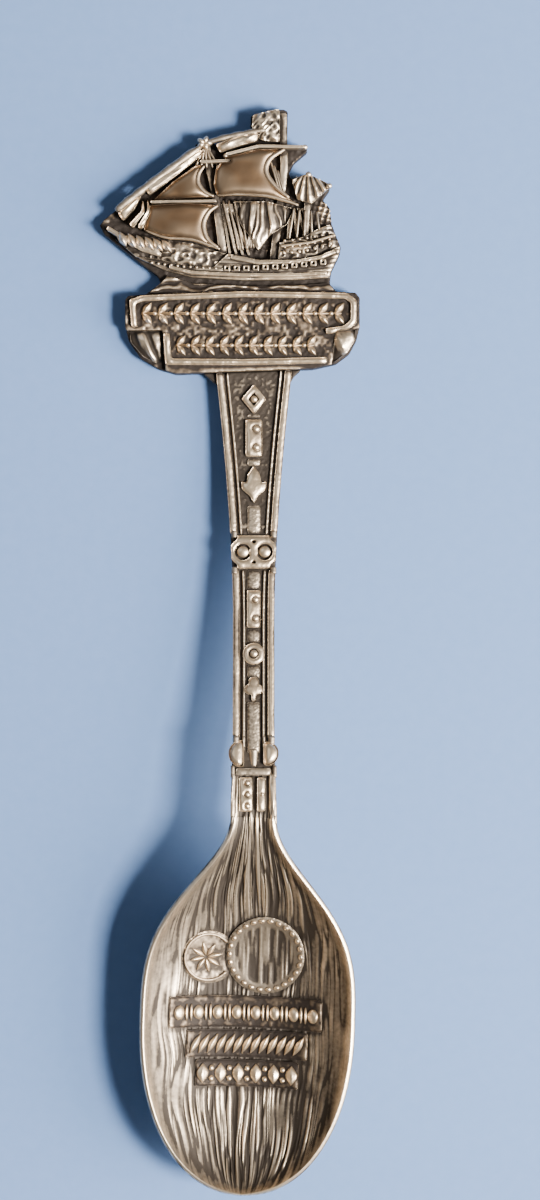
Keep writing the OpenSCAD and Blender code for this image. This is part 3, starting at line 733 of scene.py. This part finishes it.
    def build_bands(self) -> None:
        """Bead and reel, a cable, and lozenges with beads, along the three bands."""
        upper, middle, lower = self.band_y
        bm = bmesh.new()
        beads = np.linspace(-6.6, 6.3, 8)
        for x in beads:
            dome(bm, Vector((x, upper, 0.3)), Vector((0.52, 0.72, 0.42)), 0, 3)
        for x in beads[:-1] + 0.92:
            for side in (-0.22, 0.22):
                dome(bm, Vector((x + side, upper, 0.3)), Vector((0.15, 0.86, 0.34)))
        self.on_floor(bm)
        self.shop.finish(bm, "band_bead_and_reel", Tone.BRIGHT)
        bm = bmesh.new()
        for x in np.linspace(-5.0, 5.0, 13):
            leaf(bm, Vector((x, middle, 0.3)), 2.2, 0.66, 0.42, 62)
        self.on_floor(bm)
        self.shop.finish(bm, "band_cable", Tone.BRIGHT)
        bm = bmesh.new()
        for k, x in enumerate(np.linspace(-4.2, 4.4, 11)):
            if k % 2:
                for side in (0.5, -0.5):
                    dome(bm, Vector((x, lower + side, 0.3)), Vector((0.26, 0.3, 0.3)))
            else:
                leaf(bm, Vector((x, lower, 0.3)), 1.9, 1.15, 0.4, 90)
        self.on_floor(bm)
        self.shop.finish(bm, "band_lozenges", Tone.BRIGHT)

    def build(self) -> None:
        """Makes the bowl's pieces in order."""
        self.build_shell()
        self.build_emblem()
        self.build_bands()


# ---- Stem -----------------------------------------------------------------------------------
@dataclass
class Stem:
    """The arched stem: a sunk, stippled panel between two rails, with ornaments along it."""

    shop: Workshop
    bowl: Bowl
    stipple: float = 0.035
    collar_y: float = 41.0
    core_let_in: float = 0.4

    def panel(self, x: Array, y: Array) -> Array:
        """Stippling on the panel, and streaks on the collar below it."""
        sy = y - SPOON.y
        dots = self.stipple * lattice_noise(x / 0.2 + 60, y / 0.2 + 60, 12) - 0.03
        lines = self.bowl.streaks(*self.bowl.own(x, y))
        return np.where(sy < self.collar_y, lines, dots)

    def raised(self, x: Array, y: Array) -> Array:
        """Lift of the panel's floor, with a fillet along the collar's rims."""
        across, sy = np.abs(x - SPOON.x), y - SPOON.y
        fillet = 0.42 * np.exp(-(np.maximum(1.8 - across, 0) / 0.36) ** 2)
        return 0.12 * ease((sy - 37) / 1.5) + fillet * ease((self.collar_y - sy) / 0.5)

    def speckled(self, x: Array, y: Array) -> Array:
        """Stippling on the rib."""
        return 0.7 * self.stipple * lattice_noise(x / 0.13 + 90, y / 0.13 + 90, 14)

    @staticmethod
    def wavering(x: Array, y: Array) -> Array:
        """Slight unevenness along the rails and ornaments."""
        return (0.05 * lattice_noise(x / 0.9 + 30, y / 1.6 + 30, 15)
                + 0.012 * lattice_noise(x / 0.25 + 30, y / 0.25 + 30, 16))

    def build(self) -> None:
        """Makes the stem's pieces in order."""
        shop = self.shop
        core = shop.blank("stem_core", 0)
        end = [v for v in core.verts if v.co.y < CORE_LOW.y + 0.05]
        bmesh.ops.translate(core, vec=(0, -self.core_let_in, 0), verts=end)
        shop.finish(shop.cast(core, 0.11, 2), "cast_stem_core", Tone.BODY, ["stem_core"], self.panel,
                    raised=self.raised)
        shop.recast("centre_rib", Tone.BODY, 0.07, 14, carving=self.speckled, domed=0.15)
        for side in ("left", "right"):
            shop.recast("neck_rim_" + side, Tone.BRIGHT, 0.07, 14, domed=0.1)
            shop.recast("rail_" + side, Tone.BRIGHT, 0.07, 14, carving=self.wavering, domed=0.22)
            shop.recast("fillet_" + side, Tone.BODY, 0.07, 14, carving=self.wavering)
            shop.recast("lug_" + side, Tone.BRIGHT, 0.08, 30, carving=self.wavering, domed=0.45)
        self.build_webs()
        shop.recast("collar_ledge", Tone.BODY, 0.07, 6, carving=self.wavering, domed=0.15)
        for name in ("collar_tablets", "stem_diamond", "stem_tablet_upper", "stem_bud", "stem_knot",
                     "stem_tablet_lower", "stem_ring", "stem_trefoil"):
            shop.recast(name, Tone.BRIGHT, 0.06, 16, carving=self.wavering, domed=0.2)
        bm = bmesh.new()
        for node, dx, dy, r in (
                ("stem_diamond", 0, 0, 0.34), ("stem_tablet_upper", 0.19, 0.9, 0.34),
                ("stem_tablet_upper", 0.19, -0.9, 0.34), ("stem_knot", -1.05, 0, 0.56),
                ("stem_knot", 1.05, 0, 0.56), ("stem_tablet_lower", 0.15, 0.9, 0.32),
                ("stem_tablet_lower", 0.15, -0.9, 0.32), ("stem_ring", 0, 0, 0.38),
                ("collar_tablets", -0.6, 1.07, 0.28), ("collar_tablets", -0.6, 0, 0.28),
                ("collar_tablets", -0.6, -1.07, 0.28), ("collar_tablets", 0.81, 0, 0.2)):
            self.bead(bm, node, dx, dy, r)
        shop.finish(bm, "stem_beads", Tone.BRIGHT)

    def build_webs(self) -> None:
        """Short webs of metal at the bars' ends, of which the six by the rims and knot stop short."""
        bm = bmesh.new()
        webs = (
            ((1.70, -8.3, 7.06), (1.70, -9.5, 7.20), 0.32),
            ((0.97, -8.3, 7.04), (0.97, -9.4, 7.16), 0.13),
            ((2.00, -15.8, 8.45), (2.05, -16.6, 8.32), 0.20),
            ((2.00, -12.2, 7.93), (2.00, -11.1, 7.70), 0.20),
            ((1.88, 7.8, 3.72), (1.88, 7.2, 3.86), 0.30),
            ((1.90, 10.7, 3.24), (1.92, 11.3, 3.16), 0.30),
        )
        for *ends, r in webs:
            for side in (-1, 1):
                line = curve_through([Vector((SPOON.x + side * x, y, z)) for x, y, z in ends], 4)
                rod(bm, line, [r] * len(line), 10)
        rib = ((-9.6, 6.98), (-10.5, 7.06), (-11.2, 7.12))
        line = curve_through([Vector((SPOON.x, y, z)) for y, z in rib], 4)
        rod(bm, line, np.linspace(0.5, 0.36, len(line)).tolist(), 12)
        self.shop.finish(bm, "stem_webs", Tone.BODY)

    @staticmethod
    def bead(bm: bmesh.types.BMesh, node: str, dx: float, dy: float, r: float) -> None:
        """Adds a bead to an ornament, whose top slopes with the stem.

        Args:
            bm: The mesh it joins.
            node: The ornament's CAD node.
            dx: Across, from the stem's middle.
            dy: Along, from the ornament's middle.
            r: Its radius.
        """
        low, high = box_mm(node)
        share = 0.5 + dy / (high.y - low.y)
        top = high.z - max(high.z - low.z - 0.55, 0) * share
        centre = Vector((SPOON.x + dx, (low.y + high.y) / 2 + dy, top - 0.2))
        dome(bm, centre, Vector((r, r, 0.26)), 0, 3)


# ---- Ribbon ---------------------------------------------------------------------------------
@dataclass
class Ribbon:
    """The folded ribbon under the ship, with a raised border and two garlands."""

    shop: Workshop
    face: float = 0.7

    def at(self, x: float, y: float, z: float = 0.0) -> Vector:
        """A place on the ribbon's face, from the middle of its top edge."""
        return FINIAL + Vector((x, y, self.face + z))

    @staticmethod
    def pitted(x: Array, y: Array) -> Array:
        """Pitted ground between the leaves, smoother on the margin under the border."""
        pits = 0.06 * lattice_noise(x / 0.28, y / 0.28, 21) + 0.05 * lattice_noise(x / 0.9, y / 0.9, 22)
        return pits * (0.3 + 0.7 * ease((y - FINIAL.y + 6.4) / 0.4))

    @staticmethod
    def creased(x: Array, y: Array) -> Array:
        """Creases that run down a fold."""
        fx = x - FINIAL.x + 0.4 * (y - FINIAL.y)
        return (0.24 * lattice_noise(fx / 0.46 + 40, y / 2.5, 24)
                + 0.04 * lattice_noise(x / 0.4, y / 0.4, 23) - 0.06)

    def garland(self, bm: bmesh.types.BMesh, x0: float, x1: float, y: float, count: int,
                size: float) -> None:
        """Adds a row of leaf pairs with a bead between each two.

        Args:
            bm: The mesh they join.
            x0: First pair.
            x1: Last pair.
            y: The row's middle line.
            count: How many pairs.
            size: Length of a leaf.
        """
        pitch = (x1 - x0) / (count - 1)
        for i in range(count):
            x = x0 + pitch * i
            for side in (-1, 1):
                leaf(bm, self.at(x, y + side * size * 0.33), size, size * 0.5, 0.5, side * 50)
            if i < count - 1:
                dome(bm, self.at(x + pitch / 2, y, 0.02), Vector((0.24, 0.24, 0.32)))
        stalk = [self.at(x, y, 0.05) for x in (x0 - 0.5, (x0 + x1) / 2, x1 + 0.2)]
        rod(bm, stalk, [0.14, 0.14, 0.1], 6)

    def build(self) -> None:
        """Makes the ribbon's pieces in order."""
        shop = self.shop
        shop.recast("shoulders", Tone.BODY, 0.1, 3, sink=0, carving=Stem.wavering)
        shop.recast("ribbon_body", Tone.DARK, 0.1, 3, carving=self.pitted)
        shop.recast("ribbon_border", Tone.BRIGHT, 0.07, 16, carving=Stem.wavering, domed=0.25)
        for side in ("left", "right"):
            shop.recast("ribbon_fold_" + side, Tone.BODY, 0.08, 12, carving=self.creased, domed=0.25)
        for name, *row in (("garland_upper", -9.4, 9.3, -2.25, 13, 1.5),
                           ("garland_lower", -6.1, 6.6, -5.35, 10, 1.4)):
            bm = bmesh.new()
            self.garland(bm, *row)
            shop.finish(bm, name, Tone.BRIGHT, ["ribbon_" + name])


# ---- Ship -----------------------------------------------------------------------------------
@dataclass
class Ship:
    """The galleon in relief on its back plate."""

    shop: Workshop

    @staticmethod
    def at(x: float, y: float, z: float) -> Vector:
        """A place above the back plate, from the middle of the ribbon's top edge."""
        return FINIAL + Vector((x, y, z))

    @staticmethod
    def local(x: Array, y: Array) -> tuple[Array, Array]:
        """Places on the finial, from the middle of the ribbon's top edge."""
        return x - FINIAL.x, y - FINIAL.y

    def ground(self, x: Array, y: Array) -> Array:
        """Rough ground of the plate, netted where the shrouds cross it."""
        fx, fy = self.local(x, y)
        rough = 0.07 * lattice_noise(x / 0.33, y / 0.33, 31) + 0.05 * lattice_noise(x / 0.9, y / 0.9, 32)
        net = 0.12 * (groove(fy + 0.25 * fx, 0.5, 0.1) + groove(fx - 0.3 * fy, 0.55, 0.1))
        region = ease((9.3 - fy) / 0.6) * ease((fy - 3.4) / 0.4) * ease((fx + 3) / 0.5)
        return rough + net * region

    def waves(self, x: Array, y: Array) -> Array:
        """Rippled water."""
        fx, fy = self.local(x, y)
        sway = 1.3 * np.sin(fx * 1.1) + 2.0 * lattice_noise(x / 1.5, y / 1.5, 45)
        return 0.10 * np.sin(7.5 * fy + sway) + 0.08 * lattice_noise(x / 0.6, y / 0.25, 33)

    def planks(self, x: Array, y: Array) -> Array:
        """Planks that follow the sheer of the hull."""
        fx, fy = self.local(x, y)
        sheer = fy - 0.007 * fx * fx
        return (-0.07 * groove(sheer, 0.42, 0.07) + 0.05 * lattice_noise(x / 0.8, y / 0.3, 34)
                - 0.25 * ease((-3 - fx) / 6))

    def carved(self, x: Array, y: Array) -> Array:
        """Carved work on the castles."""
        fx, fy = self.local(x, y)
        curls = 1 - 3 * np.abs(lattice_noise(fx / 0.62 + 50, fy / 0.42 + 50, 35))
        return 0.09 * curls + 0.07 * lattice_noise(fx / 0.3 + 50, fy / 0.3 + 50, 46)

    def canvas(self, x: Array, y: Array) -> Array:
        """Smooth canvas with a faint unevenness."""
        fx, fy = self.local(x, y)
        return 0.05 * lattice_noise(fx / 1.6 + 9, fy / 1.2 + 9, 36)

    def ribbed(self, x: Array, y: Array) -> Array:
        """Ribs that fan out from the head of the lateen sail."""
        fx, fy = self.local(x, y)
        angle = np.arctan2(fx - 6.2, 12.2 - fy)
        return 0.13 * np.sin(angle * 24) + 0.04 * lattice_noise(x / 0.3, y / 0.3, 37)

    def draped(self, x: Array, y: Array) -> Array:
        """Soft upright folds of the lower sail amidships, which falls back on both sides."""
        fx, fy = self.local(x, y)
        fan = ((fx - 1.9) / (1.6 - 0.1 * (fy - 4))
               + 0.25 * lattice_noise(fx / 1.1 + 50, fy / 1.6 + 50, 47))
        return (0.24 * lattice_noise(fan / 0.17 + 50, fy / 3.4 + 50, 48)
                + 0.05 * lattice_noise(fx / 0.25 + 50, fy / 0.6 + 50, 50)
                - 0.45 * ease((np.abs(fx - 1.9) - 0.6) / 2.4))

    def folded(self, x: Array, y: Array) -> Array:
        """Slanting folds of the flag."""
        fx, fy = self.local(x, y)
        sway = 2.2 * lattice_noise(fx / 1.3 + 50, fy / 1.3 + 50, 48)
        curls = 1 - 3 * np.abs(lattice_noise((fx + fy) / 0.9 + 50, (fy - fx) / 0.5 + 50, 38))
        return 0.05 * np.sin(5.2 * fx + 3.4 * fy + sway) + 0.07 * curls

    def furled(self, x: Array, y: Array) -> Array:
        """Lengthwise ridges of the furled pennants and drapes."""
        fx, fy = self.local(x, y)
        sway = 1.5 * lattice_noise(fx / 1.2 + 50, fy / 1.2 + 50, 49)
        return 0.05 * np.sin(8 * (fy - 0.72 * fx) + sway) + 0.03 * lattice_noise(x / 0.5, y / 0.5, 39)

    def build_hull(self) -> None:
        """Plate, sea, hull and castles."""
        shop = self.shop
        shop.recast("finial_plate", Tone.DARK, 0.115, 3, sink=0, carving=self.ground)
        shop.recast("sea", Tone.DARK, 0.08, 2, carving=self.waves)
        shop.recast("hull", Tone.BODY, 0.07, 8, carving=self.planks, domed=0.15)
        shop.recast("wales", Tone.BRIGHT, 0.06, 12, carving=Stem.wavering, domed=0.12)
        shop.recast("gun_ports", Tone.BODY, 0.05, 7)
        for name, domed in (("forecastle", 0.2), ("stern_castle", 0.15)):
            shop.recast(name, Tone.BODY, 0.08, 10, carving=self.carved, domed=domed)
        shop.recast("stern_gallery", Tone.BRIGHT, 0.05, 8)
        shop.recast("head_rails", Tone.BODY, 0.06, 12, carving=Stem.wavering, domed=0.15)

    def build_rig(self) -> None:
        """Masts, sails and flags."""
        shop = self.shop
        for name in ("fore_mast", "main_mast", "mizzen_mast", "shrouds"):
            shop.recast(name, Tone.BODY, 0.06, 10, carving=Stem.wavering, domed=0.15)
        for name in ("fore_course", "fore_topsail", "main_topsail"):
            shop.recast(name, Tone.SAIL, 0.08, 14, carving=self.canvas, domed=0.35)
        shop.recast("main_course", Tone.BODY, 0.08, 12, carving=self.draped, domed=0.2)
        shop.recast("mizzen_sail", Tone.BODY, 0.06, 10, carving=self.ribbed, domed=0.15)
        shop.recast("masthead_flag", Tone.BODY, 0.07, 12, carving=self.folded, domed=0.2)
        for name in ("spritsail", "jib_drapes", "fore_pennant", "main_pennant"):
            shop.recast(name, Tone.BRIGHT, 0.07, 20, carving=self.furled, domed=0.3)
        shop.recast("yards", Tone.BODY, 0.06, 12, domed=0.15)

    def build_luffs(self) -> None:
        """Pale edges of the sails, where the canvas turns back: raised rods in the bright finish, whose
        pale colour is partly rubbed metal and partly a painted highlight where the light from the right
        catches the sails' edges.
        """
        bm = bmesh.new()
        edges = (
            (((-2.5, 8.15), (-3.4, 7.5), (-3.9, 6.3), (-3.5, 4.9), (-2.5, 4.1)), 1.35, 0.26),
            (((-3.8, 12.0), (-4.35, 11.2), (-4.4, 10.3), (-3.8, 9.5), (-2.9, 9.05)), 1.35, 0.24),
            (((4.0, 13.6), (2.6, 12.7), (2.15, 11.5), (2.9, 10.2), (4.4, 8.9)), 1.4, 0.28),
            (((-9.5, 5.75), (-7.6, 5.1), (-5.2, 4.95), (-3.5, 4.4), (-2.3, 3.95)), 1.2, 0.2),
            (((-2.6, 9.15), (-0.6, 9.3), (2.2, 9.15), (4.4, 8.55), (5.3, 8.2)), 1.2, 0.2),
        )
        for points, z, r in edges:
            line = curve_through([self.at(x, y, z) for x, y in points])
            n = len(line)
            rod(bm, line, [r * (0.35 + 0.65 * math.sin(math.pi * (k + 0.5) / n)) for k in range(n)])
        # The bright finish on these edges is partly rubbed metal and partly painted highlight, where
        # light from the right catches the sails.
        self.shop.finish(bm, "sail_luffs_rubbed_and_highlit", Tone.BRIGHT)
        bm = bmesh.new()
        rolls = (
            (((-12.4, 7.7), (-10.9, 8.9), (-9.2, 10.2), (-6.6, 12.15), (-4.2, 13.9)), 0.40),
            (((-3.6, 14.3), (-1.6, 14.85), (0.4, 15.25), (2.3, 15.6)), 0.30),
        )
        for points, r in rolls:
            line = curve_through([self.at(x, y, 1.0) for x, y in points])
            n = len(line)
            rod(bm, line, [r * (1 + 0.12 * math.sin(k * 1.9)) * min(1, 0.5 + 0.25 * min(k, n - 1 - k))
                           for k in range(n)], 10)
        self.shop.finish(bm, "rolled_cloth", Tone.BODY, carving=self.furled)

    def build_ropes(self) -> None:
        """Stays, shrouds and the lashings below the mastheads."""
        bm = bmesh.new()
        ropes = [((-3.7, 14.2), (-3.6 + d, 11.9)) for d in (-1.1, -0.55, 0.0, 0.6, 1.2)]
        ropes += [((2.6 + 0.35 * i, 12.6 - 0.5 * i), (3.4 + 0.3 * i, 9.9 - 0.3 * i)) for i in range(3)]
        ropes += [((-2.0 + 0.55 * i, 8.7), (-0.9 + 0.42 * i, 3.9)) for i in range(4)]
        ropes += [((-0.1 + 0.6 * i, 8.6), (1.0 - 0.28 * i, 4.1)) for i in range(4)]
        ropes += [((4.9 + 0.55 * i, 8.0 - 0.1 * i), (4.4 + 0.75 * i, 4.9 + 0.15 * i)) for i in range(5)]
        for (x0, y0), (x1, y1) in ropes:
            ends = [self.at(x0, y0, 0.75), self.at((x0 + x1) / 2, (y0 + y1) / 2, 0.9),
                    self.at(x1, y1, 0.75)]
            rod(bm, curve_through(ends, 4), [0.11] * 9, 6)
        self.shop.finish(bm, "rigging", Tone.BODY)

    def build_knobs(self) -> None:
        """Mastheads, yard ends, drops on the bow and studs along the sides."""
        bm = bmesh.new()
        for turn in range(0, 360, 72):
            a = math.radians(turn)
            dome(bm, self.at(-3.8 + 0.38 * math.cos(a), 14.25 + 0.3 * math.sin(a), 0.9),
                 Vector((0.45, 0.28, 0.5)), turn)
        for x, y, r in ((5.95, 13.85, 0.28), (8.3, 10.1, 0.3), (-1.75, 13.0, 0.26), (6.3, 11.2, 0.3)):
            dome(bm, self.at(x, y, 1.1), Vector((r, r, r)))
        for i in range(6):
            leaf(bm, self.at(-11.7 + 0.85 * i, 4.9 - 0.14 * i, 1.3), 1.6, 0.8, 0.5, -66 + 3 * i)
        for i in range(12):
            dome(bm, self.at(-8.9 + 0.62 * i, 2.62 - 0.09 * i + 0.0035 * i * i, 1.2),
                 Vector((0.17, 0.17, 0.18)), fineness=1)
        for row in range(3):
            for i in range(7):
                dome(bm, self.at(4.0 + 0.72 * i, 3.55 + 0.6 * row + 0.05 * i + 0.012 * i * i, 1.25),
                     Vector((0.15, 0.15, 0.16)), fineness=1)
        self.shop.finish(bm, "studs_and_knobs", Tone.BODY)

    def build(self) -> None:
        """Makes the ship's pieces in order."""
        self.build_hull()
        self.build_rig()
        self.build_luffs()
        self.build_ropes()
        self.build_knobs()


# ---- Studio ---------------------------------------------------------------------------------
@dataclass
class Studio:
    """Pale floor, soft light and a camera straight above."""

    aim: Point = (0.00394, 0.00466)
    height: float = 0.262
    view_tall: float = 0.1176

    def build_floor(self) -> None:
        """A plain pale sheet."""
        bm = bmesh.new()
        bmesh.ops.create_grid(bm, x_segments=1, y_segments=1, size=1.5)
        mesh = bpy.data.meshes.new("floor")
        bm.to_mesh(mesh)
        bm.free()
        floor = placed("floor", mesh)
        mat = bpy.data.materials.new("pale_floor")
        mat.use_nodes = True
        tree = mat.node_tree
        cloud = tree.nodes.new("ShaderNodeTexNoise")
        cloud.inputs["Scale"].default_value = 900
        ramp = tree.nodes.new("ShaderNodeValToRGB")
        for stop, blue in zip(ramp.color_ramp.elements, ((0.125, 0.235, 0.50), (0.150, 0.265, 0.54))):
            stop.color = (*blue, 1)
        coord = tree.nodes.new("ShaderNodeTexCoord")
        tree.links.new(coord.outputs["Object"], cloud.inputs["Vector"])
        tree.links.new(cloud.outputs["Fac"], ramp.inputs[0])
        shader = tree.nodes["Principled BSDF"]
        tree.links.new(ramp.outputs["Color"], shader.inputs["Base Color"])
        shader.inputs["Roughness"].default_value = 0.9
        floor.data.materials.append(mat)

    def light(self, name: str, place: Vector, size: float, watts: float, colour: Colour) -> None:
        """Adds a soft square light that faces the spoon."""
        lamp = bpy.data.lights.new(name, "AREA")
        lamp.size = size
        lamp.energy = watts
        lamp.color = colour
        holder = placed(name, lamp)
        holder.location = place
        holder.rotation_euler = (-place).to_track_quat("-Z", "Y").to_euler()

    def build(self) -> None:
        """Makes the floor, the lights, the surroundings and the camera."""
        self.build_floor()
        self.light("key", Vector((0.26, -0.09, 0.36)), 0.10, 6.2, (1.0, 0.94, 0.85))
        self.light("side", Vector((0.48, -0.12, 0.22)), 0.36, 8.0, (1.0, 0.93, 0.84))
        self.light("fill", Vector((-0.30, 0.25, 0.45)), 0.35, 0.4, (0.92, 0.95, 1.0))
        world = bpy.data.worlds.new("room")
        world.use_nodes = True
        back = world.node_tree.nodes["Background"]
        back.inputs["Color"].default_value = (0.83, 0.79, 0.74, 1)
        back.inputs["Strength"].default_value = 0.17
        bpy.context.scene.world = world
        lens = bpy.data.cameras.new("camera")
        lens.sensor_fit = "VERTICAL"
        lens.angle = 2 * math.atan(self.view_tall / 2 / self.height)
        lens.clip_start = 0.01
        camera = placed("camera", lens)
        camera.location = (*self.aim, self.height)
        bpy.context.scene.camera = camera


def main() -> None:
    """Builds the spoon and the studio, and reports each piece."""
    logging.basicConfig(level=logging.INFO, format="%(name)s: %(message)s")
    shop = Workshop()
    Studio().build()
    bowl = Bowl(shop)
    for part in (bowl, Stem(shop, bowl), Ribbon(shop), Ship(shop)):
        part.build()
    shop.paint_wear()


if __name__ == "__main__":
    main()
